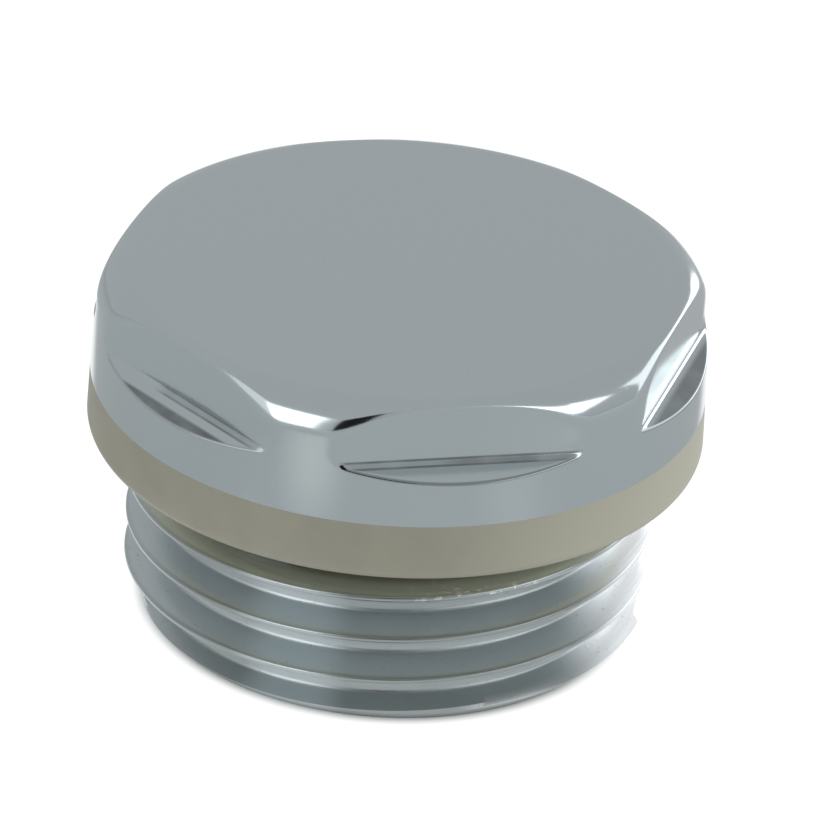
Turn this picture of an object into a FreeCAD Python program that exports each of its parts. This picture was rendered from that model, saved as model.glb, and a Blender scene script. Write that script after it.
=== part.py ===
import FreeCAD, Part
import math
import os

# Blanking plug for a radiator tapping, standing on the end of its thread.
# Millimetres, +Z up the plug's axis, z = 0 at the thread's end face, one flat of the head facing -Y.

# Parallel pipe thread, half inch size. The crest lies a little inside the nominal diameter.
NOMINAL_MAJOR_D = 20.955
CREST_ALLOWANCE = 0.05
PITCH = 1.814
FLANK_ANGLE = 55.0
CREST_SHARE = 1.0 / 6.0
ROOT_SHARE = 1.0 / 6.0
THREAD_LENGTH = 6.6
END_CHAMFER = 0.85
START_ANGLE = 10.0

# Relief groove where the thread runs out, which also holds the sealing ring.
RELIEF_PITCHES = 0.52
RELIEF_DEPTH = 0.1
RELIEF_ANGLE = 30.0

# Sealing ring under the head. Its bore is smaller than the thread's crests, which keep it on the plug.
RING_THICKNESS = 2.4
RING_CLEARANCE = 0.1
RING_EDGE_R = 0.5
RING_LEAD_ANGLE = 30.0

# Head: a round band that the ring carries on downwards, and flats above it for a 22 mm spanner.
SEAT_WIDTH = 1.6
BAND_HEIGHT = 2.22
FLAT_HEIGHT = 2.5
FLAT_DEPTH = 1.1
FLAT_COUNT = 6
HEAD_DRAFT = 2.0
HEAD_EDGE_R = 1.4
LEDGE_SLOPE = 24.0
LEDGE_CORNER_R = 0.27

# Hollow from the thread's end.
SHANK_WALL = 2.1
CROWN_THICKNESS = 3.4
BORE_DRAFT = 1.5
BORE_FLOOR_BREAK = 0.9
BORE_MOUTH_BREAK = 0.4

# Radii and heights that follow from the sizes above.
MAJOR_R = NOMINAL_MAJOR_D / 2.0 - CREST_ALLOWANCE
FLANK_SLOPE = math.tan(math.radians(FLANK_ANGLE / 2.0))
THREAD_DEPTH = PITCH * (1.0 - CREST_SHARE - ROOT_SHARE) / (2.0 * FLANK_SLOPE)
MINOR_R = NOMINAL_MAJOR_D / 2.0 - THREAD_DEPTH
RELIEF_R = MINOR_R - RELIEF_DEPTH
RING_INNER_R = RELIEF_R + RING_CLEARANCE
RING_FACE_R = MAJOR_R + RING_CLEARANCE
HEAD_R = MAJOR_R + SEAT_WIDTH
RING_LOW_Z = THREAD_LENGTH + RELIEF_PITCHES * PITCH
SEAT_Z = RING_LOW_Z + RING_THICKNESS
LEDGE_Z = SEAT_Z + BAND_HEIGHT
HEAD_TOP_Z = LEDGE_Z + FLAT_HEIGHT


def vec(x, y, z):
    """A point or direction."""
    return FreeCAD.Vector(x, y, z)


def narrowing(height, angle):
    """How much a drafted wall comes in over a height."""
    return height * math.tan(math.radians(angle))


def turned(outline):
    """A solid of revolution about Z from (radius, height) pairs."""
    points = [vec(r, 0.0, z) for r, z in outline]
    wire = Part.makePolygon(points + points[:1])
    return Part.Face(wire).revolve(vec(0, 0, 0), vec(0, 0, 1), 360.0)


def circles_at(shape, radius, height):
    """The full circular edges of a turned solid at one radius and height."""
    found = []
    for edge in shape.Edges:
        curve = edge.Curve
        if not isinstance(curve, Part.Circle):
            continue
        if abs(curve.Radius - radius) < 1e-4 and abs(curve.Center.z - height) < 1e-4:
            found.append(edge)
    return found


def head_blank():
    """The turned head: a drafted drum with a rounded top edge."""
    top_r = HEAD_R - narrowing(HEAD_TOP_Z - SEAT_Z, HEAD_DRAFT)
    drum = turned([(0.0, SEAT_Z), (HEAD_R, SEAT_Z), (top_r, HEAD_TOP_Z), (0.0, HEAD_TOP_Z)])
    return drum.makeFillet(HEAD_EDGE_R, circles_at(drum, top_r, HEAD_TOP_Z))


def flat_cutter():
    """The stock milled away for one flat, down to its sloping ledge, on the -Y side."""
    flat_y = FLAT_DEPTH - HEAD_R
    outer_y = -2.0 * HEAD_R
    outer_z = LEDGE_Z - narrowing(flat_y - outer_y, LEDGE_SLOPE)
    over_z = HEAD_TOP_Z + FLAT_HEIGHT
    corners = [
        vec(-HEAD_R, flat_y, LEDGE_Z),
        vec(-HEAD_R, outer_y, outer_z),
        vec(-HEAD_R, outer_y, over_z),
        vec(-HEAD_R, flat_y, over_z),
    ]
    block = Part.Face(Part.makePolygon(corners + corners[:1])).extrude(vec(2.0 * HEAD_R, 0, 0))
    foot = vec(0, flat_y, LEDGE_Z)
    inner = [edge for edge in block.Edges if edge.distToShape(Part.Vertex(foot))[0] < 1e-6]
    return block.makeFillet(LEDGE_CORNER_R, inner)


def head():
    """The head with its flats, which stop above a plain round band."""
    shape = head_blank()
    cutter = flat_cutter()
    for index in range(FLAT_COUNT):
        tool = cutter.copy()
        tool.rotate(vec(0, 0, 0), vec(0, 0, 1), 360.0 * index / FLAT_COUNT)
        shape = shape.cut(tool)
    return shape


def shank_blank():
    """The turned shank before threading: chamfered end, full diameter and relief, up to the head."""
    relief_foot = THREAD_LENGTH + narrowing(MAJOR_R - RELIEF_R, RELIEF_ANGLE)
    return turned([
        (0.0, 0.0),
        (MAJOR_R - END_CHAMFER, 0.0),
        (MAJOR_R, END_CHAMFER),
        (MAJOR_R, THREAD_LENGTH),
        (RELIEF_R, relief_foot),
        (RELIEF_R, SEAT_Z),
        (0.0, SEAT_Z),
    ])


def thread_groove():
    """The right-handed helical groove, from one pitch below the end face up into the relief."""
    root_half = PITCH * ROOT_SHARE / 2.0
    mouth_half = root_half + (MAJOR_R - MINOR_R) * FLANK_SLOPE
    start_z = -PITCH
    end_z = THREAD_LENGTH + PITCH / 2.0
    outer_r = MAJOR_R + THREAD_DEPTH
    corners = [
        vec(MINOR_R, 0, start_z - root_half),
        vec(MAJOR_R, 0, start_z - mouth_half),
        vec(outer_r, 0, start_z - mouth_half),
        vec(outer_r, 0, start_z + mouth_half),
        vec(MAJOR_R, 0, start_z + mouth_half),
        vec(MINOR_R, 0, start_z + root_half),
    ]
    profile = Part.makePolygon(corners + corners[:1])
    spine = Part.makeLongHelix(PITCH, end_z - start_z, MINOR_R)
    spine.translate(vec(0, 0, start_z))
    groove = Part.Wire(spine.Edges).makePipeShell([profile], True, True)
    groove.rotate(vec(0, 0, 0), vec(0, 0, 1), START_ANGLE)
    return groove


def bore():
    """The blind hollow from the thread's end, drafted, with a sloping floor edge and a broken mouth."""
    depth = HEAD_TOP_Z - CROWN_THICKNESS
    mouth_r = RELIEF_R - SHANK_WALL
    floor_r = mouth_r - narrowing(depth, BORE_DRAFT)
    core = turned([(0.0, 0.0), (mouth_r, 0.0), (floor_r, depth), (0.0, depth)])
    core = core.makeChamfer(BORE_FLOOR_BREAK, circles_at(core, floor_r, depth))
    return core.fuse(Part.makeCone(mouth_r + BORE_MOUTH_BREAK, mouth_r, BORE_MOUTH_BREAK))


def plug_body():
    """The one-piece plug: head and hollow threaded shank."""
    shank = shank_blank().cut(thread_groove())
    return head().fuse(shank).cut(bore()).removeSplitter()


def sealing_ring():
    """The soft ring in the relief, with a lead-in cone inside and a lower edge eased by two flats.

    Its wall carries on the head's draft. The cone lets it slip over the thread, so that its flat lower
    face lies wholly outside the crests.
    """
    wall_r = HEAD_R + narrowing(RING_THICKNESS - RING_EDGE_R, HEAD_DRAFT)
    eased = RING_EDGE_R * (1.0 - math.sqrt(0.5))
    lead = narrowing(RING_FACE_R - RING_INNER_R, RING_LEAD_ANGLE)
    return turned([
        (RING_FACE_R, RING_LOW_Z),
        (wall_r - RING_EDGE_R, RING_LOW_Z),
        (wall_r - eased, RING_LOW_Z + eased),
        (wall_r, RING_LOW_Z + RING_EDGE_R),
        (HEAD_R, SEAT_Z),
        (RING_INNER_R, SEAT_Z),
        (RING_INNER_R, RING_LOW_Z + lead),
    ])


def main():
    """Build each piece and write it as its own file."""
    os.makedirs("parts", exist_ok=True)
    plug_body().exportStep("parts/plug_body.step")
    sealing_ring().exportStep("parts/sealing_ring.step")


main()
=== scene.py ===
"""A chromed radiator blanking plug and its sealing ring, dressed and set on a pale studio floor."""

import logging
import math
from collections.abc import Callable
from dataclasses import dataclass, field
from enum import Enum
from typing import Any

import bmesh
import bpy
from mathutils import Matrix, Quaternion, Vector


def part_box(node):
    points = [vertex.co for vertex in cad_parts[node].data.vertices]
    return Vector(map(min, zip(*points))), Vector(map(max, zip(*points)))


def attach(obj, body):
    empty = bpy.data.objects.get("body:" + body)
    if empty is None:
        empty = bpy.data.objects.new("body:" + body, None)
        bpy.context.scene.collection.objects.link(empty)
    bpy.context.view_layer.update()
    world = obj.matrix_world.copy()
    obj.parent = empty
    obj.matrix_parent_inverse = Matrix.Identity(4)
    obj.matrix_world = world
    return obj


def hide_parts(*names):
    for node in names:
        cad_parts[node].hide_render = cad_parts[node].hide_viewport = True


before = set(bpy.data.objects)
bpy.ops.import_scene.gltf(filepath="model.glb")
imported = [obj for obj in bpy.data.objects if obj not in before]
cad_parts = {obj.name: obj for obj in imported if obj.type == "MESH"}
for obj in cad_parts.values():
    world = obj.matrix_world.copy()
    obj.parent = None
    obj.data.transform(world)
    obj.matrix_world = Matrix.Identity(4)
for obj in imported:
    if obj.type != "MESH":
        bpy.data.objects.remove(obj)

MM = 0.001
AXIS = (0.0, 0.0, 1.0)
ORIGIN = (0.0, 0.0, 0.0)
MERGE_DISTANCE = 0.002 * MM
CUT_TOLERANCE = 0.0002 * MM
SHARP_ANGLE = math.radians(38.0)
AIM_HEIGHT = 4.97 * MM

# A full turn is spun as one of these equal shares, which is then copied round.
SHARES = 12

# Azimuths in degrees right of -Y: the camera's, and a quarter turn to the right of it.
CAMERA_SIDE = -13.6
RIGHT_SIDE = CAMERA_SIDE + 90.0

Point = tuple[float, float]
Span = tuple[float, float]
Triple = tuple[float, float, float]
Colour = tuple[float, float, float]
LOG = logging.getLogger("blanking_plug")


class Slot(Enum):
    """The record's material slots."""

    CHROME = "chrome_plate"
    SEAL = "seal"


class Op(Enum):
    """Arithmetic that a Math node does on two numbers."""

    ADD = "ADD"
    SUBTRACT = "SUBTRACT"
    MULTIPLY = "MULTIPLY"
    DIVIDE = "DIVIDE"
    POWER = "POWER"
    MAXIMUM = "MAXIMUM"


def line(start: Point, end: Point, count: int) -> list[Point]:
    """Evenly spaced points of a straight stretch.

    Args:
        start: First point, which is included.
        end: Last point, which is left to the next stretch.
        count: Number of points.

    Returns:
        The points in order.
    """
    shares = [index / count for index in range(count)]
    return [(start[0] + (end[0] - start[0]) * s, start[1] + (end[1] - start[1]) * s) for s in shares]


def arc(centre: Point, radius: float, first: float, last: float, count: int) -> list[Point]:
    """Evenly spaced points of a circular arc, both ends included.

    Args:
        centre: Centre of the arc.
        radius: Radius of the arc.
        first: Starting angle in degrees above the outward radius.
        last: Closing angle in degrees.
        count: Number of steps between the ends.

    Returns:
        The points in order.
    """
    angles = [math.radians(first + (last - first) * index / count) for index in range(count + 1)]
    return [(centre[0] + radius * math.cos(a), centre[1] + radius * math.sin(a)) for a in angles]


def soft_min(first: float, second: float, width: float) -> float:
    """The smaller of two lengths, with a rounded change from one to the other.

    Args:
        first: One length.
        second: The other length.
        width: Difference within which the two are blended.

    Returns:
        The blended smaller length.
    """
    overlap = max(width - abs(first - second), 0.0)
    return min(first, second) - overlap * overlap / (4.0 * width)


def gentle(share: float) -> float:
    """A share between 0 and 1 that starts and ends gently."""
    return share * share * (3.0 - 2.0 * share)


@dataclass(frozen=True)
class Grain:
    """A pattern of smooth noise.

    Attributes:
        scale: Waves per millimetre.
        detail: Octaves of finer noise.
        stretch: Extra scale along each axis.
        turn: Turn of the pattern about the plug's axis, in degrees.
        edge: Noise at which marks begin and at which they are full, or none for the plain noise.
    """

    scale: float
    detail: float = 2.0
    stretch: Triple = (1.0, 1.0, 1.0)
    turn: float = 0.0
    edge: Span | None = None


@dataclass(frozen=True)
class Side:
    """A stretch of the surface round the plug's axis.

    Attributes:
        azimuth: Middle of the stretch, in degrees right of -Y.
        fade: Cosine of the angle from the middle at which the stretch begins and at which it is full.
    """

    azimuth: float
    fade: Span


class Shade:
    """A number that changes over a surface, with arithmetic that adds Math nodes."""

    def __init__(self, tree: "ShaderTree", socket: bpy.types.NodeSocket) -> None:
        """Wraps an output socket of the tree."""
        self.tree = tree
        self.socket = socket

    def _join(self, op: Op, first: "Shade | float", second: "Shade | float") -> "Shade":
        """Adds the Math node for one operation on two numbers."""
        node = self.tree.node("ShaderNodeMath", {"operation": op.value}, {0: first, 1: second})
        return Shade(self.tree, node.outputs[0])

    def __add__(self, other: "Shade | float") -> "Shade":
        """This number plus another."""
        return self._join(Op.ADD, self, other)

    def __radd__(self, other: float) -> "Shade":
        """A plain number plus this one."""
        return self._join(Op.ADD, other, self)

    def __sub__(self, other: "Shade | float") -> "Shade":
        """This number less another."""
        return self._join(Op.SUBTRACT, self, other)

    def __rsub__(self, other: float) -> "Shade":
        """A plain number less this one."""
        return self._join(Op.SUBTRACT, other, self)

    def __mul__(self, other: "Shade | float") -> "Shade":
        """This number times another."""
        return self._join(Op.MULTIPLY, self, other)

    def __rmul__(self, other: float) -> "Shade":
        """A plain number times this one."""
        return self._join(Op.MULTIPLY, other, self)

    def __truediv__(self, other: "Shade | float") -> "Shade":
        """This number over another."""
        return self._join(Op.DIVIDE, self, other)

    def __rtruediv__(self, other: float) -> "Shade":
        """A plain number over this one."""
        return self._join(Op.DIVIDE, other, self)

    def __pow__(self, other: float) -> "Shade":
        """This number to a power."""
        return self._join(Op.POWER, self, other)

    def most(self, other: "Shade | float") -> "Shade":
        """The larger of this number and another."""
        return self._join(Op.MAXIMUM, self, other)

    def size(self) -> "Shade":
        """This number without its sign."""
        return self.most(0.0 - self)

    def rising(self, low: float, high: float) -> "Shade":
        """A smooth change from 0 at low to 1 at high.

        Args:
            low: Where the change begins.
            high: Where it is complete; below low, the change falls instead.

        Returns:
            The share between 0 and 1.
        """
        ends = {"Value": self, "From Min": low, "From Max": high, "To Min": 0.0, "To Max": 1.0}
        if high < low:
            ends.update({"From Min": high, "From Max": low, "To Min": 1.0, "To Max": 0.0})
        node = self.tree.node("ShaderNodeMapRange", {"interpolation_type": "SMOOTHSTEP"}, ends)
        return Shade(self.tree, node.outputs["Result"])


class ShaderTree:
    """The node tree of one material, with object coordinates in millimetres."""

    def __init__(self, name: str) -> None:
        """Makes a material whose tree holds the coordinates alone.

        Args:
            name: Name of the material.
        """
        self.material = bpy.data.materials.new(name)
        self.material.use_nodes = True
        self.tree = self.material.node_tree
        self.tree.nodes.clear()
        raw = self.node("ShaderNodeTexCoord").outputs["Object"]
        scaled = self.node("ShaderNodeVectorMath", {"operation": "SCALE"}, {0: raw, "Scale": 1.0 / MM})
        self.place = scaled.outputs[0]
        split = self.node("ShaderNodeSeparateXYZ", None, {0: self.place})
        self.x, self.y, self.z = (Shade(self, socket) for socket in split.outputs)
        self.radius = (self.x * self.x + self.y * self.y) ** 0.5

    def node(
        self,
        kind: str,
        settings: dict[str, Any] | None = None,
        inputs: dict[str | int, Any] | None = None,
    ) -> bpy.types.Node:
        """Adds a node.

        Args:
            kind: Blender's type name of the node.
            settings: Attributes that are set first, such as an operation.
            inputs: Values or links for its input sockets, by name or number.

        Returns:
            The node.
        """
        made = self.tree.nodes.new(kind)
        for key, value in (settings or {}).items():
            setattr(made, key, value)
        for key, value in (inputs or {}).items():
            source = value.socket if isinstance(value, Shade) else value
            if isinstance(source, bpy.types.NodeSocket):
                self.tree.links.new(source, made.inputs[key])
            else:
                made.inputs[key].default_value = source
        return made

    def facing(self, side: Side) -> Shade:
        """How fully a point lies in a stretch round the plug's axis.

        Args:
            side: The stretch.

        Returns:
            1 in the middle of the stretch and 0 outside it.
        """
        turn = math.radians(side.azimuth)
        cosine = (self.x * math.sin(turn) - self.y * math.cos(turn)) / self.radius
        return cosine.rising(*side.fade)

    def noise(self, grain: Grain) -> Shade:
        """Smooth noise, or the marks that its peaks make.

        Args:
            grain: Pattern of the noise.

        Returns:
            A number between 0 and 1.
        """
        turn = (0.0, 0.0, math.radians(grain.turn))
        placing = {"Vector": self.place, "Scale": grain.stretch, "Rotation": turn}
        mapped = self.node("ShaderNodeMapping", None, placing)
        inputs = {"Vector": mapped.outputs[0], "Scale": grain.scale, "Detail": grain.detail}
        plain = Shade(self, self.node("ShaderNodeTexNoise", None, inputs).outputs["Fac"])
        return plain.rising(*grain.edge) if grain.edge else plain

    def blend(
        self,
        share: Shade,
        plain: "bpy.types.NodeSocket | Colour",
        changed: "bpy.types.NodeSocket | Colour",
    ) -> bpy.types.NodeSocket:
        """A colour between two others.

        Args:
            share: Share of the second colour.
            plain: First colour, or a socket that gives it.
            changed: Second colour, or a socket that gives it.

        Returns:
            The blended colour's socket.
        """
        ends = [c if isinstance(c, bpy.types.NodeSocket) else (*c, 1.0) for c in (plain, changed)]
        mix = self.node("ShaderNodeMix", {"data_type": "RGBA"}, {0: share, 6: ends[0], 7: ends[1]})
        return mix.outputs[2]

    def paint(self, base: Colour, layers: list[tuple[Shade, Colour]]) -> bpy.types.NodeSocket:
        """Lays colours over one another.

        Args:
            base: Colour under the layers.
            layers: Share and colour of each layer, the lowest first.

        Returns:
            The colour's socket.
        """
        tone = base
        for share, colour in layers:
            tone = self.blend(share, tone, colour)
        return tone

    def bump(self, height: Shade, depth: float) -> bpy.types.NodeSocket:
        """A normal disturbed by small relief.

        Args:
            height: Relief between 0 and 1.
            depth: Full height of the relief in metres.

        Returns:
            The normal's socket.
        """
        return self.node("ShaderNodeBump", None, {"Height": height, "Distance": depth}).outputs[0]

    def surface(self, inputs: dict[str, Any]) -> bpy.types.Material:
        """Closes the tree with one principled shader.

        Args:
            inputs: Values or links for the shader's sockets.

        Returns:
            The finished material.
        """
        shader = self.node("ShaderNodeBsdfPrincipled", None, inputs)
        self.node("ShaderNodeOutputMaterial", None, {"Surface": shader.outputs[0]})
        return self.material


@dataclass(frozen=True)
class LedgeShade:
    """Dark painted shade in the corners over the ledges and along the ledges' lips.

    Lengths are in millimetres, and a span runs from where a mark begins to where it is full.
    """

    flat_distance: float
    flat_angle: float
    ledge_z: float
    ledge_slope: float
    # Colour of the painted shade.
    colour: Colour = (0.15, 0.17, 0.17)
    line_outside: Span = (0.23, 0.17)
    line_inside: Span = (0.07, 0.13)
    between_lines: Span = (0.16, 0.10)
    corner_end_r: Span = (11.95, 11.82)
    ledge_skin: Span = (0.11, 0.03)
    ledge_start: Span = (0.02, 0.12)
    ledge_end_r: Span = (11.97, 11.87)
    lip_r: Span = (11.85, 11.92)
    strip_start: Span = (0.44, 0.58)
    veil_start: Span = (0.16, 0.40)
    patches: Grain = Grain(0.6, edge=(0.25, 0.6))
    seen: Side = Side(CAMERA_SIDE, (0.0, 0.25))
    # Side where the painted ledge shade is darkest.
    darker: Side = Side(-32.0, (0.35, 0.75))
    striped: Side = Side(-62.0, (0.8, 0.93))
    smeared: Side = Side(-53.0, (0.962, 0.985))
    veiled: Side = Side(62.0, (0.85, 0.94))
    filled: Side = Side(11.0, (0.955, 0.99))

    def share(self, tree: ShaderTree) -> Shade:
        """Where the painted shade lies on the head.

        Args:
            tree: Node tree that takes the nodes.

        Returns:
            The share of the surface that is dark.
        """
        across, along = tree.x.size(), tree.y.size()
        beside = across * math.sin(self.flat_angle) + along * math.cos(self.flat_angle)
        out = along.most(beside) - self.flat_distance
        rise = tree.z - self.ledge_z
        off = rise + out * math.tan(self.ledge_slope)
        ledge = off.size().rising(*self.ledge_skin) * out.rising(*self.ledge_start)
        inside = ledge * tree.radius.rising(*self.ledge_end_r)
        darker, striped = tree.facing(self.darker), tree.facing(self.striped)
        patch = tree.noise(self.patches)
        # Painted shade: a strip over the left ledges, lines along the corners, darker lips on the
        # camera's side and a veil over the right ledges.
        strip = inside * out.rising(*self.strip_start) * striped
        corner = self.corner(tree, out, rise) * (1.0 - striped * (1.0 - tree.facing(self.smeared) * 0.8))
        ledge_shade = corner.most(strip) * (0.6 + patch * 0.4) * (0.1 + darker * 0.8)
        lip = ledge * tree.radius.rising(*self.lip_r) * (1.0 - striped * 0.7)
        lip = lip * (tree.facing(self.seen) * 0.5 + darker * 0.15)
        veil = inside * out.rising(*self.veil_start) * tree.facing(self.veiled)
        return ledge_shade.most(lip).most(veil * (0.5 + patch * 0.2))

    def corner(self, tree: ShaderTree, out: Shade, rise: Shade) -> Shade:
        """The two lines along a ledge's corner and the fainter stretch between them.

        Args:
            tree: Node tree that takes the nodes.
            out: Distance of a point outside its flat.
            rise: Height of a point over the corner.

        Returns:
            The share of the surface that is dark.
        """
        reach = (out * out + rise * rise) ** 0.5
        lines = reach.rising(*self.line_outside) * reach.rising(*self.line_inside)
        middle = reach.rising(*self.between_lines) * (0.4 + tree.facing(self.filled) * 0.35)
        return lines.most(middle) * tree.radius.rising(*self.corner_end_r)


@dataclass(frozen=True)
class ChromePlate:
    """Polished chrome over forged and threaded brass, duller in the thread with grime specks, and with
    painted shade, painted reflections and painted highlights on the thread, under the sealing ring and
    round the ledges.

    Lengths are in millimetres, and a span runs from where a mark begins to where it is full.
    """

    ledge_shade: LedgeShade
    bright: Colour = (0.54, 0.605, 0.63)
    # Duller thread all round, and painted shade on the thread's camera side.
    dull_and_shaded: Colour = (0.41, 0.455, 0.465)
    # Grime specks, and painted shade in the thread roots.
    grime_and_shade: Colour = (0.25, 0.275, 0.275)
    # Painted shade on the thread's crests and near its lower end.
    crest_and_end_shade: Colour = (0.24, 0.265, 0.265)
    # Painted highlight on the thread's right side, and painted glints on the burrs.
    painted_light: Colour = (0.82, 0.85, 0.87)
    # Painted shade under the sealing ring, tinted as a painted reflection of the seal.
    under_ring_shade: Colour = (0.17, 0.165, 0.13)
    roughness: float = 0.11
    relief_height: float = 0.004 * MM
    thread_z: Span = (6.3, 5.7)
    end_z: Span = (1.5, 0.7)
    root_r: Span = (10.38, 9.35)
    flank_r: Span = (9.6, 10.2)
    crest_r: Span = (10.24, 10.38)
    neck_r: Span = (10.05, 9.6)
    neck_low_z: Span = (5.9, 6.2)
    neck_high_z: Span = (9.9, 9.8)
    burr_low_z: Span = (5.4, 5.6)
    burr_high_z: Span = (6.4, 6.0)
    # Side of the thread that takes the painted shade.
    shaded_side: Side = Side(CAMERA_SIDE, (0.35, 0.85))
    # Side of the thread with a painted reflection of the left panel.
    left_reflection_side: Side = Side(-34.0, (0.97, 0.998))
    # Side that takes a painted highlight.
    right_lit_side: Side = Side(RIGHT_SIDE, (0.7, 0.97))
    burred: Side = Side(7.0, (0.955, 0.99))
    haze: Grain = Grain(0.35, 3.0)
    peel: Grain = Grain(1.3)
    specks: Grain = Grain(5.0, 4.0, edge=(0.62, 0.75))
    burrs: Grain = Grain(3.2, 3.0, edge=(0.56, 0.64))
    turning: Grain = Grain(1.0, 3.0, (0.4, 0.4, 14.0))
    hairs_along: Grain = Grain(1.0, 2.0, (0.18, 9.0, 3.0), 25.0, (0.70, 0.78))
    hairs_across: Grain = Grain(1.0, 2.0, (0.22, 8.0, 3.0), -48.0, (0.71, 0.80))

    def material(self) -> bpy.types.Material:
        """Builds the plating's material.

        Returns:
            The material.
        """
        tree = ShaderTree("chrome plate")
        radius, z = tree.radius, tree.z
        thread = z.rising(*self.thread_z)
        # Painted shade on the thread, strongest on the camera's side, over a duller thread all round.
        dulling_and_shade = thread * (0.25 + tree.facing(self.shaded_side) * 0.75)
        root = radius.rising(*self.root_r) * dulling_and_shade
        crest = radius.rising(*self.crest_r) * dulling_and_shade
        neck = radius.rising(*self.neck_r) * z.rising(*self.neck_low_z) * z.rising(*self.neck_high_z)
        burrs = tree.noise(self.burrs) * tree.facing(self.burred)
        burrs = burrs * z.rising(*self.burr_low_z) * z.rising(*self.burr_high_z)
        haze, peel, specks = tree.noise(self.haze), tree.noise(self.peel), tree.noise(self.specks)
        hairs = tree.noise(self.hairs_along).most(tree.noise(self.hairs_across))
        turning = tree.noise(self.turning) * thread
        tone = tree.paint(self.bright, [
            # Duller thread, with painted shade on the camera's side.
            (dulling_and_shade * (0.85 + radius.rising(*self.flank_r) * 0.15), self.dull_and_shaded),
            # Painted shade in the thread roots.
            (root * (0.1 + haze * 0.4), self.grime_and_shade),
            # Painted shade on the crests and near the thread's lower end.
            (crest * (0.6 + haze * 0.5), self.crest_and_end_shade),
            (z.rising(*self.end_z) * dulling_and_shade * 0.8, self.crest_and_end_shade),
            # Painted reflection of the left panel, then a painted highlight on the right.
            (tree.facing(self.left_reflection_side) * thread * 0.45, self.bright),
            (tree.facing(self.right_lit_side) * thread, self.painted_light),
            # Painted shade and a painted reflection of the seal on the neck under the ring.
            (neck * 0.75, self.under_ring_shade),
            (specks * (0.08 + thread * 0.3), self.grime_and_shade),
            # Burr specks, with painted glints.
            (burrs * 0.5, self.painted_light),
            # Painted shade round the ledges.
            (self.ledge_shade.share(tree), self.ledge_shade.colour),
        ])
        relief = peel * 0.5 + hairs * 0.12 + turning * 1.2 + specks * thread * 0.6 + burrs * 1.8
        return tree.surface({
            "Base Color": tone,
            "Metallic": 1.0,
            "Roughness": self.roughness + haze * 0.04 + hairs * 0.08 + thread * 0.18 + root * 0.05,
            "Normal": tree.bump(relief, self.relief_height),
        })


@dataclass(frozen=True)
class SoftSeal:
    """Pale moulded sealing plastic, matt, with faint flow marks and dust, painted light on its right
    side and where it is hidden, and darker towards its lower edge.

    Lengths are in millimetres, and a span runs from where a mark begins to where it is full.
    """

    low_z: float
    pale: Colour = (0.30, 0.297, 0.236)
    dusty: Colour = (0.26, 0.256, 0.205)
    # Painted light on the seal's right side.
    painted_light: Colour = (0.47, 0.465, 0.38)
    # Darker tone towards the lower edge.
    darker: Colour = (0.22, 0.217, 0.17)
    # Painted light where the plug hides the seal.
    painted_underside_light: Colour = (0.74, 0.70, 0.52)
    roughness: float = 0.38
    relief_height: float = 0.006 * MM
    darker_height: Span = (0.55, 0.05)
    hidden_r: Span = (11.7, 11.5)
    dust: Span = (0.35, 0.8)
    # Side that takes the painted light.
    right_lit_side: Side = Side(RIGHT_SIDE, (0.05, 0.95))
    cloud: Grain = Grain(0.5, 3.0)
    grain: Grain = Grain(9.0, 3.0)
    flow: Grain = Grain(1.0, 2.0, (0.5, 0.5, 5.0))

    def material(self) -> bpy.types.Material:
        """Builds the seal's material.

        Returns:
            The material.
        """
        tree = ShaderTree("soft seal")
        cloud, grain, flow = tree.noise(self.cloud), tree.noise(self.grain), tree.noise(self.flow)
        tone = tree.paint(self.pale, [
            (cloud.rising(*self.dust) * 0.6 + grain * 0.15, self.dusty),
            # Painted light on the seal's right side.
            (tree.facing(self.right_lit_side), self.painted_light),
            # Darker towards the lower edge.
            ((tree.z - self.low_z).rising(*self.darker_height), self.darker),
            # Painted light where the plug hides the seal.
            (tree.radius.rising(*self.hidden_r), self.painted_underside_light),
        ])
        return tree.surface({
            "Base Color": tone,
            "Roughness": self.roughness + cloud * 0.12 + grain * 0.06,
            "Normal": tree.bump(grain * 0.6 + flow * 0.8, self.relief_height),
        })


@dataclass(frozen=True)
class Spill:
    """A faint patch of light on the table.

    Attributes:
        across: Place of its middle to the camera's right of the plug, in millimetres.
        nearer: Place of its middle towards the camera, in millimetres.
        reach: Radius at which it has faded, in millimetres.
        level: Its strength in the middle.
    """

    across: float
    nearer: float
    reach: float
    level: float


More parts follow.
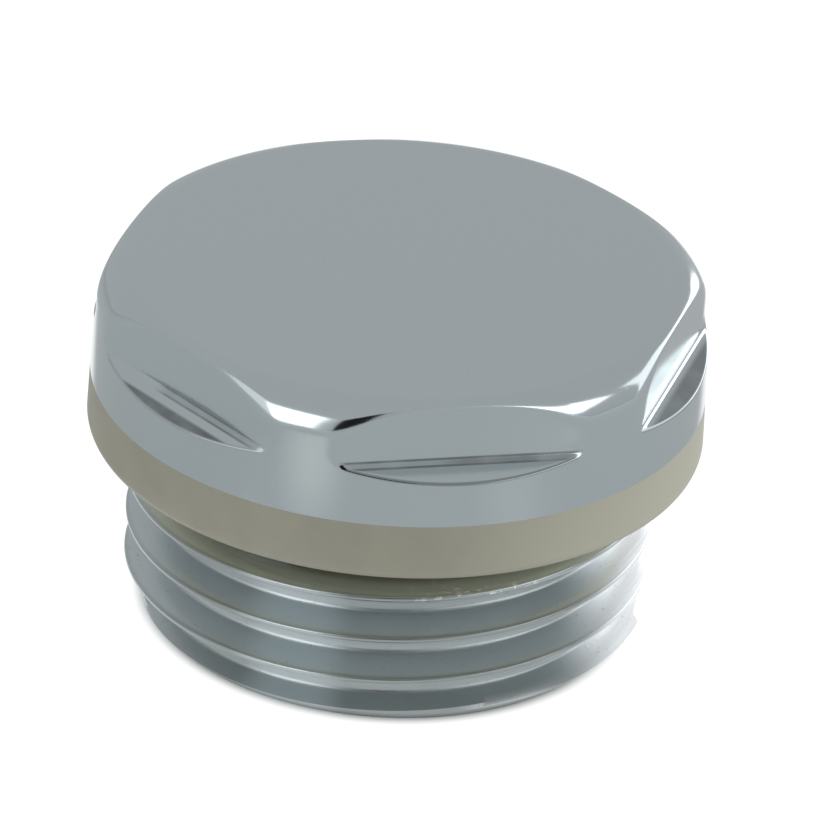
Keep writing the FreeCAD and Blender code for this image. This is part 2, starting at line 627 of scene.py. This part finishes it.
@dataclass(frozen=True)
class LightTable:
    """Pale studio table that is lit from below around the object.

    Lengths are in millimetres, and a span runs from where the light begins to fade to where it ends.
    """

    top: Colour = (0.78, 0.79, 0.79)
    glass: Colour = (0.30, 0.30, 0.30)
    glow: Colour = (0.90, 0.90, 0.90)
    unlit: Colour = (0.0, 0.0, 0.0)
    spilt: Colour = (0.30, 0.29, 0.26)
    side: Span = (17.0, 21.0)
    front: Span = (19.0, 23.5)
    foot: Span = (10.2, 9.4)
    back: Span = (-8.0, -60.0)
    widening: float = 6.0
    spills: tuple[Spill, ...] = (Spill(-15.6, 34.0, 9.0, 0.8), Spill(20.5, 27.0, 9.0, 0.22))

    def material(self) -> bpy.types.Material:
        """Builds the table's material.

        Returns:
            The material.
        """
        tree = ShaderTree("light table")
        cosine, sine = math.cos(math.radians(CAMERA_SIDE)), math.sin(math.radians(CAMERA_SIDE))
        across = tree.x * cosine + tree.y * sine
        nearer = tree.x * sine - tree.y * cosine
        beside = across.size() - nearer.rising(*self.back) * self.widening
        under = tree.radius.rising(*self.foot)
        dark = beside.rising(*self.side).most(nearer.rising(*self.front)).most(under)
        layers = [(dark, self.unlit)]
        for spill in self.spills:
            away = ((across - spill.across) ** 2.0 + (nearer - spill.nearer) ** 2.0) ** 0.5
            layers.append((away.rising(spill.reach, 0.0) * dark * spill.level, self.spilt))
        return tree.surface({
            "Base Color": tree.blend(dark, self.glass, self.top),
            "Roughness": 0.9,
            "Specular IOR Level": 0.0,
            "Emission Color": tree.paint(self.glow, layers),
            "Emission Strength": 1.0,
        })


@dataclass(frozen=True)
class BlackCloth:
    """Black studio cloth."""

    dark: Colour = (0.012, 0.012, 0.013)

    def material(self) -> bpy.types.Material:
        """Builds the cloth's material.

        Returns:
            The material.
        """
        return ShaderTree("black cloth").surface({
            "Base Color": (*self.dark, 1.0),
            "Roughness": 1.0,
            "Specular IOR Level": 0.0,
        })


class Lathe:
    """A mesh in the making, most often turned about the Z axis."""

    def __init__(self) -> None:
        """Starts with an empty mesh."""
        self.bm = bmesh.new()

    def sheet(self, width: float, height: float) -> None:
        """Lays a flat sheet round the origin.

        Args:
            width: Its size along X.
            height: Its size along Y.
        """
        bmesh.ops.create_grid(self.bm, x_segments=1, y_segments=1, size=0.5)
        bmesh.ops.scale(self.bm, vec=(width, height, 1.0), verts=self.bm.verts[:])

    def section(self, points: list[Point], closed: bool = False) -> list[Any]:
        """Lays a section in the XZ plane.

        Args:
            points: Radius and height of each corner.
            closed: Whether the last corner is joined to the first.

        Returns:
            The vertices and edges of the section.
        """
        verts = [self.bm.verts.new((r, 0.0, z)) for r, z in points]
        pairs = list(zip(verts, verts[1:]))
        if closed:
            pairs.append((verts[-1], verts[0]))
        return verts + [self.bm.edges.new(pair) for pair in pairs]

    def turn(self, points: list[Point], steps: int, closed: bool = False) -> list[bmesh.types.BMVert]:
        """Spins a section once round the axis.

        Args:
            points: Radius and height of each corner.
            steps: Steps in the full turn.
            closed: Whether the section is a ring.

        Returns:
            The vertices that were added.
        """
        known = set(self.bm.verts)
        share = self.section(points, closed)
        bmesh.ops.spin(
            self.bm, geom=share, cent=ORIGIN, axis=AXIS, angle=math.tau / SHARES, steps=steps // SHARES
        )
        share = self.added(known)
        for index in range(1, SHARES):
            copied = bmesh.ops.duplicate(self.bm, geom=share)["geom"]
            turn = Matrix.Rotation(math.tau * index / SHARES, 3, "Z")
            moved = [item for item in copied if isinstance(item, bmesh.types.BMVert)]
            bmesh.ops.rotate(self.bm, cent=ORIGIN, matrix=turn, verts=moved)
        added = [item for item in self.added(known) if isinstance(item, bmesh.types.BMVert)]
        bmesh.ops.remove_doubles(self.bm, verts=added, dist=MERGE_DISTANCE)
        return [v for v in self.bm.verts if v not in known]

    def added(self, known: set[bmesh.types.BMVert]) -> list[Any]:
        """The vertices, edges and faces that lie wholly on vertices not yet known.

        Args:
            known: Vertices that were there before.

        Returns:
            The new parts of the mesh.
        """
        verts = [v for v in self.bm.verts if v not in known]
        edges = [e for e in self.bm.edges if e.verts[0] not in known]
        faces = [f for f in self.bm.faces if f.verts[0] not in known]
        return verts + edges + faces

    def screw(self, points: list[Point], pitch: float, turns: int, steps: int) -> None:
        """Winds a section that is one pitch high up the axis, and joins its turns.

        Args:
            points: Radius and height of each corner.
            pitch: Rise in one turn.
            turns: Number of turns.
            steps: Steps in each turn.
        """
        bmesh.ops.spin(
            self.bm, geom=self.section(points), cent=ORIGIN, axis=AXIS, dvec=(0.0, 0.0, pitch / steps),
            angle=math.tau, steps=steps,
        )
        first = self.bm.verts[:] + self.bm.edges[:] + self.bm.faces[:]
        for index in range(1, turns):
            copied = bmesh.ops.duplicate(self.bm, geom=first)["geom"]
            moved = [item for item in copied if isinstance(item, bmesh.types.BMVert)]
            bmesh.ops.translate(self.bm, vec=(0.0, 0.0, pitch * index), verts=moved)
        bmesh.ops.remove_doubles(self.bm, verts=self.bm.verts[:], dist=MERGE_DISTANCE)

    def trim(self, height: float, keep_above: bool) -> None:
        """Cuts the whole mesh off at a height.

        Args:
            height: Height of the cut.
            keep_above: Whether the upper part is kept.
        """
        everything = self.bm.verts[:] + self.bm.edges[:] + self.bm.faces[:]
        bmesh.ops.bisect_plane(
            self.bm, geom=everything, dist=CUT_TOLERANCE, plane_co=(0.0, 0.0, height),
            plane_no=AXIS, clear_inner=keep_above, clear_outer=not keep_above,
        )

    def reshape(
        self, verts: list[bmesh.types.BMVert], place: Callable[[float, float, float], Triple]
    ) -> None:
        """Moves vertices by their angle, radius and height.

        Args:
            verts: Vertices to move.
            place: Gives the new angle, radius and height from the old ones.
        """
        for vert in verts:
            x, y, z = vert.co
            angle, radius, height = place(math.atan2(y, x), math.hypot(x, y), z)
            vert.co = (radius * math.cos(angle), radius * math.sin(angle), height)

    def fill(self, height: float) -> None:
        """Closes the level ring between the two open rims that lie at one height.

        Args:
            height: Height of both rims.
        """
        rims = [
            edge for edge in self.bm.edges
            if edge.is_boundary and all(abs(vert.co.z - height) < MERGE_DISTANCE for vert in edge.verts)
        ]
        bmesh.ops.triangle_fill(self.bm, edges=rims, use_beauty=True, normal=AXIS)

    def piece(self, name: str, finish: bpy.types.Material) -> bpy.types.Object:
        """Closes the mesh and makes an object of it.

        Args:
            name: Name of the piece.
            finish: Material of the piece.

        Returns:
            The object, at the origin.
        """
        bmesh.ops.remove_doubles(self.bm, verts=self.bm.verts[:], dist=MERGE_DISTANCE)
        bmesh.ops.recalc_face_normals(self.bm, faces=self.bm.faces[:])
        mesh = bpy.data.meshes.new(name)
        self.bm.to_mesh(mesh)
        self.bm.free()
        mesh.shade_smooth()
        mesh.set_sharp_from_angle(angle=SHARP_ANGLE)
        mesh.materials.append(finish)
        made = bpy.data.objects.new(name, mesh)
        bpy.context.scene.collection.objects.link(made)
        return made


@dataclass
class PipeThread:
    """Right-hand parallel pipe thread with eased crests and rounded roots, up to its relief groove."""

    pitch: float = 1.814 * MM
    half_angle: float = math.radians(27.5)
    crest_r: float = 10.4275 * MM
    crest_half: float = 0.075 * MM
    crest_ease: float = 0.09 * MM
    root_r: float = 9.316 * MM
    root_round: float = 0.20 * MM
    length: float = 6.6 * MM
    end_chamfer: float = 0.85 * MM
    relief_r: float = 9.216 * MM
    relief_angle: float = math.radians(30.0)
    start_angle: float = math.radians(10.0)
    edge_blend: float = 0.08 * MM
    run_out: float = 0.9 * MM
    spare_turns: int = 2
    steps: int = 240
    crest_steps: int = 5
    flank_steps: int = 3
    root_steps: int = 3

    @property
    def end_z(self) -> float:
        """Height in the relief groove where the threaded mesh ends."""
        return self.length + self.run_out

    def section(self) -> list[Point]:
        """One pitch of the thread, from root to root, with the spare turns left below the end.

        Returns:
            Radius and height of each corner.
        """
        turn = 90.0 - math.degrees(self.half_angle)
        tangent = math.tan(math.radians(turn / 2.0))
        low = -self.spare_turns * self.pitch
        high = low + self.pitch
        middle = low + self.pitch / 2.0
        reach = self.crest_half - self.crest_ease * tangent
        crest_in = self.crest_r - self.crest_ease
        under = arc((crest_in, middle - reach), self.crest_ease, -turn, 0.0, self.crest_steps)
        over = arc((crest_in, middle + reach), self.crest_ease, 0.0, turn, self.crest_steps)
        flank_height = (self.crest_r - self.root_r) * math.tan(self.half_angle)
        root_half = self.pitch / 2.0 - self.crest_half - flank_height
        spare = root_half - self.root_round * tangent
        root_in = self.root_r + self.root_round
        rise = arc((root_in, low + spare), self.root_round, 180.0, 180.0 - turn, self.root_steps)
        fall = arc((root_in, high - spare), self.root_round, 180.0 + turn, 180.0, self.root_steps)
        return (
            [(self.root_r, low)]
            + rise[:-1]
            + line(rise[-1], under[0], self.flank_steps)
            + under
            + over[:-1]
            + line(over[-1], fall[0], self.flank_steps)
            + fall
            + [(self.root_r, high)]
        )

    def blank_r(self, height: float) -> float:
        """Radius of the turned blank: end chamfer, full diameter, relief groove.

        Args:
            height: Height over the thread's end.

        Returns:
            The radius.
        """
        chamfer = self.crest_r - self.end_chamfer + height
        relief = self.crest_r - (height - self.length) / math.tan(self.relief_angle)
        return min(chamfer, max(relief, self.relief_r))

    def add_to(self, lathe: Lathe) -> None:
        """Winds the thread and trims it to its blank.

        Args:
            lathe: Mesh that takes the thread, still empty.
        """
        turns = math.ceil(self.end_z / self.pitch) + self.spare_turns
        lathe.screw(self.section(), self.pitch, turns, self.steps)
        lathe.reshape(lathe.bm.verts[:], lambda angle, r, z: (angle + self.start_angle, r, z))
        lathe.trim(0.0, True)
        lathe.trim(self.end_z, False)
        lathe.reshape(lathe.bm.verts[:], self.trimmed)

    def trimmed(self, angle: float, radius: float, height: float) -> Triple:
        """Keeps a point of the thread inside the turned blank."""
        return angle, soft_min(radius, self.blank_r(height), self.edge_blend), max(height, 0.0)


@dataclass
class SpannerHead:
    """Relief neck, seat and low hexagon head, whose flats stop at sloping ledges above a round band."""

    relief_r: float
    start_z: float
    seat_z: float
    top_z: float
    head_r: float = 12.0275 * MM
    relief_step: float = 0.15 * MM
    band_height: float = 2.22 * MM
    flat_depth: float = 1.02 * MM
    flat_count: int = 6
    draft: float = math.radians(2.0)
    edge_r: float = 1.4 * MM
    ledge_slope: float = math.radians(24.0)
    ledge_corner_r: float = 0.27 * MM
    crease: float = 0.30 * MM
    ledge_crease: float = 0.09 * MM
    crease_height: float = 0.6 * MM
    fine_below: float = 0.56 * MM
    fine_above: float = 0.26 * MM
    core_share: float = 0.5
    crowding: float = 0.08
    steps: int = 432
    neck_steps: int = 4
    seat_steps: int = 3
    band_steps: int = 10
    ledge_steps: int = 48
    flat_steps: int = 8
    edge_steps: int = 44
    top_steps: int = 8

    @property
    def ledge_z(self) -> float:
        """Height of the ledges at the foot of the flats."""
        return self.seat_z + self.band_height

    @property
    def flat_distance(self) -> float:
        """Distance of each flat from the axis."""
        return self.head_r - self.flat_depth

    @property
    def sector(self) -> float:
        """Angle from one flat to the next."""
        return math.tau / self.flat_count

    def ledge_shade(self) -> LedgeShade:
        """The painted shade round this head's ledges."""
        return LedgeShade(self.flat_distance / MM, self.sector, self.ledge_z / MM, self.ledge_slope)

    def wall_r(self, height: float) -> float:
        """Radius of the drafted drum at a height."""
        return self.head_r - (height - self.seat_z) * math.tan(self.draft)

    def section(self) -> list[Point]:
        """The turned blank from the relief groove to the middle of the top.

        Returns:
            Radius and height of each corner, most of them near the ledges.
        """
        half = math.tan(math.pi / 4.0 - self.draft / 2.0)
        edge = (self.wall_r(self.top_z) - self.edge_r * half, self.top_z - self.edge_r)
        rounding = arc(edge, self.edge_r, math.degrees(self.draft), 90.0, self.edge_steps)
        neck = (self.relief_r, self.seat_z)
        foot = (self.head_r, self.seat_z)
        low_z, high_z = self.ledge_z - self.fine_below, self.ledge_z + self.fine_above
        low, high = (self.wall_r(low_z), low_z), (self.wall_r(high_z), high_z)
        return (
            [(self.relief_r - self.relief_step, self.start_z)]
            + line((self.relief_r, self.start_z + self.relief_step), neck, self.neck_steps)
            + line(neck, foot, self.seat_steps)
            + line(foot, low, self.band_steps)
            + line(low, high, self.ledge_steps)
            + line(high, rounding[0], self.flat_steps)
            + rounding
            + line(rounding[-1], (0.0, self.top_z), self.top_steps)[1:]
            + [(0.0, self.top_z)]
        )

    def cut_distance(self, height: float) -> float:
        """How far from the axis the cutter of one flat reaches, ledge and fillet included.

        Args:
            height: Height over the thread's end.

        Returns:
            The distance.
        """
        flat = self.flat_distance
        sine, cosine = math.sin(self.ledge_slope), math.cos(self.ledge_slope)
        centre_z = self.ledge_z + self.ledge_corner_r * (1.0 - sine) / cosine
        if height >= centre_z:
            return flat
        drop = centre_z - height
        if drop < self.ledge_corner_r * cosine:
            return flat + self.ledge_corner_r - math.sqrt(self.ledge_corner_r**2 - drop**2)
        return flat + (self.ledge_z - height) * cosine / sine

    def easing(self, height: float) -> float:
        """Width of the blend between drum and cut: tight at the ledge, softer up the flat."""
        share = min(max((height - self.ledge_z) / self.crease_height, 0.0), 1.0)
        return self.ledge_crease + (self.crease - self.ledge_crease) * gentle(share)

    def milled(self, angle: float, radius: float, height: float) -> Triple:
        """Moves a point of the turned blank onto the milled head, with columns crowded to the corners.

        Args:
            angle: Angle round the axis.
            radius: Distance from the axis.
            height: Height over the thread's end.

        Returns:
            The new angle, radius and height.
        """
        if height < self.seat_z or radius < self.flat_distance * self.core_share:
            return angle, radius, height
        half = self.sector / 2.0
        from_flat = (angle + math.pi / 2.0 + half) % self.sector - half
        shift = self.crowding * math.sin(self.flat_count * from_flat)
        cut = self.cut_distance(height) / math.cos(from_flat + shift)
        return angle + shift, soft_min(radius, cut, self.easing(height)), height

    def add_to(self, lathe: Lathe) -> None:
        """Turns the head and mills its flats.

        Args:
            lathe: Mesh that takes the head.
        """
        lathe.reshape(lathe.turn(self.section(), self.steps), self.milled)


@dataclass
class ShankHollow:
    """Blind drafted hollow from the thread's end, with a rounded floor edge and a broken mouth."""

    relief_r: float
    top_z: float
    wall: float = 2.1 * MM
    crown: float = 3.4 * MM
    draft: float = math.radians(1.5)
    floor_break: float = 0.9 * MM
    mouth_break: float = 0.4 * MM
    steps: int = 180
    mouth_steps: int = 2
    wall_steps: int = 10
    edge_steps: int = 8
    floor_steps: int = 6

    def section(self) -> list[Point]:
        """The hollow's wall from its mouth to the middle of its floor.

        Returns:
            Radius and height of each corner.
        """
        depth = self.top_z - self.crown
        mouth_r = self.relief_r - self.wall
        taper = math.tan(self.draft)
        floor_r = mouth_r - depth * taper
        lip = (mouth_r - self.mouth_break * taper, self.mouth_break)
        centre = (floor_r - self.floor_break, depth - self.floor_break)
        edge = arc(centre, self.floor_break, 0.0, 90.0, self.edge_steps)
        return (
            line((mouth_r + self.mouth_break, 0.0), lip, self.mouth_steps)
            + line(lip, edge[0], self.wall_steps)
            + edge
            + line(edge[-1], (0.0, depth), self.floor_steps)[1:]
            + [(0.0, depth)]
        )

    def add_to(self, lathe: Lathe) -> None:
        """Turns the hollow.

        Args:
            lathe: Mesh that takes the hollow.
        """
        lathe.turn(self.section(), self.steps)


@dataclass
class PlugBody:
    """The plug itself, one piece of plated brass."""

    thread: PipeThread
    head: SpannerHead
    hollow: ShankHollow

    def build(self) -> bpy.types.Object:
        """Builds and dresses the plug.

        Returns:
            The piece that stands for the CAD body.
        """
        lathe = Lathe()
        self.thread.add_to(lathe)
        self.head.add_to(lathe)
        lathe.fill(self.thread.end_z)
        self.hollow.add_to(lathe)
        lathe.fill(0.0)
        made = lathe.piece("plated_plug", ChromePlate(self.head.ledge_shade()).material())
        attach(made, "root")
        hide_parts("plug_body")
        return made


@dataclass
class SealingRing:
    """The soft ring in the relief groove, with a lead-in cone, a drafted wall and a rounded rim."""

    thread: PipeThread
    head: SpannerHead
    low_z: float
    outer_r: float
    clearance: float = 0.1 * MM
    lead_angle: float = math.radians(30.0)
    edge_r: float = 0.5 * MM
    steps: int = 288
    cone_steps: int = 4
    face_steps: int = 3
    rim_steps: int = 14
    wall_steps: int = 6
    seat_steps: int = 2
    bore_steps: int = 3

    def section(self) -> list[Point]:
        """The ring's section, from the top of its lead-in cone down, out and round to its bore.

        Returns:
            Radius and height of each corner.
        """
        inner_r = self.thread.relief_r + self.clearance
        face_r = self.thread.crest_r + self.clearance
        cone = (inner_r, self.low_z + (face_r - inner_r) * math.tan(self.lead_angle))
        face = (face_r, self.low_z)
        seat, bore = (self.head.head_r, self.head.seat_z), (inner_r, self.head.seat_z)
        centre = (self.outer_r - self.edge_r, self.low_z + self.edge_r)
        rim = arc(centre, self.edge_r, -90.0, math.degrees(self.head.draft), self.rim_steps)
        return (
            line(cone, face, self.cone_steps)
            + line(face, rim[0], self.face_steps)
            + rim
            + line(rim[-1], seat, self.wall_steps)[1:]
            + line(seat, bore, self.seat_steps)
            + line(bore, cone, self.bore_steps)
        )

    def build(self) -> bpy.types.Object:
        """Builds and dresses the ring.

        Returns:
            The piece that stands for the CAD ring.
        """
        lathe = Lathe()
        lathe.turn(self.section(), self.steps, closed=True)
        made = lathe.piece("soft_ring", SoftSeal(self.low_z / MM).material())
        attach(made, "root")
        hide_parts("sealing_ring")
        return made


def towards(azimuth: float, elevation: float) -> Vector:
    """The direction from the object at an azimuth right of -Y and an elevation, in degrees."""
    a, e = math.radians(azimuth), math.radians(elevation)
    return Vector((math.sin(a) * math.cos(e), -math.cos(a) * math.cos(e), math.sin(e)))


@dataclass
class Softbox:
    """A studio light panel that faces the object, in metres and degrees."""

    name: str
    azimuth: float
    elevation: float
    width: float
    height: float
    radiance: float
    turn: float = 0.0
    distance: float = 0.30

    def build(self, target: Vector) -> bpy.types.Object:
        """Hangs the panel.

        Args:
            target: Point that the panel faces.

        Returns:
            The light object.
        """
        away = towards(self.azimuth, self.elevation)
        lamp = bpy.data.lights.new(self.name, "AREA")
        lamp.shape = "RECTANGLE"
        lamp.size, lamp.size_y = self.width, self.height
        lamp.energy = self.radiance * math.pi * self.width * self.height
        made = bpy.data.objects.new(self.name, lamp)
        made.location = target + away * self.distance
        made.rotation_mode = "QUATERNION"
        spun = Quaternion(AXIS, math.radians(self.turn))
        made.rotation_quaternion = away.to_track_quat("Z", "Y") @ spun
        made.visible_camera = False
        bpy.context.scene.collection.objects.link(made)
        return made


@dataclass
class BlackCard:
    """A black card that stands on the floor and darkens what the chrome shows, in metres and degrees."""

    name: str
    azimuth: float
    width: float
    height: float
    distance: float = 0.30
    cloth: BlackCloth = field(default_factory=BlackCloth)

    def build(self) -> bpy.types.Object:
        """Stands the card up.

        Returns:
            The card, out of the camera's sight.
        """
        lathe = Lathe()
        lathe.sheet(self.width, self.height)
        away = towards(self.azimuth, 0.0)
        middle = away * self.distance + Vector((0.0, 0.0, self.height / 2.0))
        place = Matrix.Translation(middle) @ away.to_track_quat("Z", "Y").to_matrix().to_4x4()
        bmesh.ops.transform(lathe.bm, matrix=place, verts=lathe.bm.verts[:])
        made = lathe.piece(self.name, self.cloth.material())
        made.visible_camera = False
        return made


@dataclass
class Studio:
    """Floor, surrounding light, light panels and a black card."""

    centre: Vector
    ambient: float = 0.56
    floor_size: float = 2.4
    table: LightTable = field(default_factory=LightTable)
    panels: tuple[Softbox, ...] = (
        Softbox("left panel", -53.0, 15.0, 0.13, 0.24, 1.5),
        Softbox("left spill", -66.0, 15.0, 0.28, 0.26, 0.45),
        Softbox("front strip", 42.0, 20.0, 0.34, 0.10, 1.6, 40.0),
        Softbox("right panel", 103.0, 15.0, 0.18, 0.22, 1.0),
        Softbox("right spill", 128.0, 6.0, 0.15, 0.14, 1.9),
    )
    cards: tuple[BlackCard, ...] = (BlackCard("dark_card", -16.0, 0.15, 0.21),)

    def build(self) -> None:
        """Lays the floor, sets the lights and stands the card."""
        lathe = Lathe()
        lathe.sheet(self.floor_size, self.floor_size)
        floor = lathe.piece("light_table", self.table.material())
        world = bpy.data.worlds.new("studio surround")
        world.use_nodes = True
        surround = world.node_tree.nodes["Background"]
        surround.inputs["Color"].default_value = (1.0, 1.0, 1.0, 1.0)
        surround.inputs["Strength"].default_value = self.ambient
        bpy.context.scene.world = world
        for panel in self.panels:
            panel.build(self.centre)
        for card in self.cards:
            card.build()


@dataclass
class StudioCamera:
    """Camera above and in front of the plug, slightly rolled."""

    centre: Vector
    azimuth: float = CAMERA_SIDE
    elevation: float = 29.1
    roll: float = 3.8
    distance: float = 227.0 * MM
    focal_length: float = 252.47
    near_clip: float = 0.01
    aim_right: float = 0.74 * MM
    aim_up: float = 2.82 * MM

    def build(self) -> bpy.types.Object:
        """Sets the camera up.

        Returns:
            The camera object.
        """
        a, roll = math.radians(self.azimuth), math.radians(self.roll)
        back = towards(self.azimuth, self.elevation)
        level = Vector((math.cos(a), math.sin(a), 0.0))
        upright = back.cross(level)
        right = level * math.cos(roll) + upright * math.sin(roll)
        up = upright * math.cos(roll) - level * math.sin(roll)
        lens = bpy.data.cameras.new("studio camera")
        lens.lens = self.focal_length
        lens.clip_start = self.near_clip
        made = bpy.data.objects.new("studio camera", lens)
        place = Matrix((right, up, back)).transposed().to_4x4()
        aim = self.centre + right * self.aim_right + up * self.aim_up
        place.translation = aim + back * self.distance
        made.matrix_world = place
        bpy.context.scene.collection.objects.link(made)
        bpy.context.scene.camera = made
        return made


def main() -> None:
    """Builds the pieces, the studio and the camera."""
    logging.basicConfig(level=logging.INFO, format="%(name)s: %(message)s")
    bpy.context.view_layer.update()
    _, body_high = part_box("plug_body")
    ring_low, ring_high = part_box("sealing_ring")
    thread = PipeThread()
    head = SpannerHead(thread.relief_r, thread.end_z, seat_z=ring_high.z, top_z=body_high.z)
    hollow = ShankHollow(thread.relief_r, top_z=body_high.z)
    plug = PlugBody(thread, head, hollow).build()
    ring = SealingRing(thread, head, low_z=ring_low.z, outer_r=min(ring_high.xy)).build()
    for piece in (plug, ring):
        LOG.info("%s has %d faces", piece.name, len(piece.data.polygons))
    bpy.context.scene.view_settings.view_transform = "Standard"
    middle = Vector((0.0, 0.0, AIM_HEIGHT))
    Studio(middle).build()
    StudioCamera(middle).build()


if __name__ == "__main__":
    main()
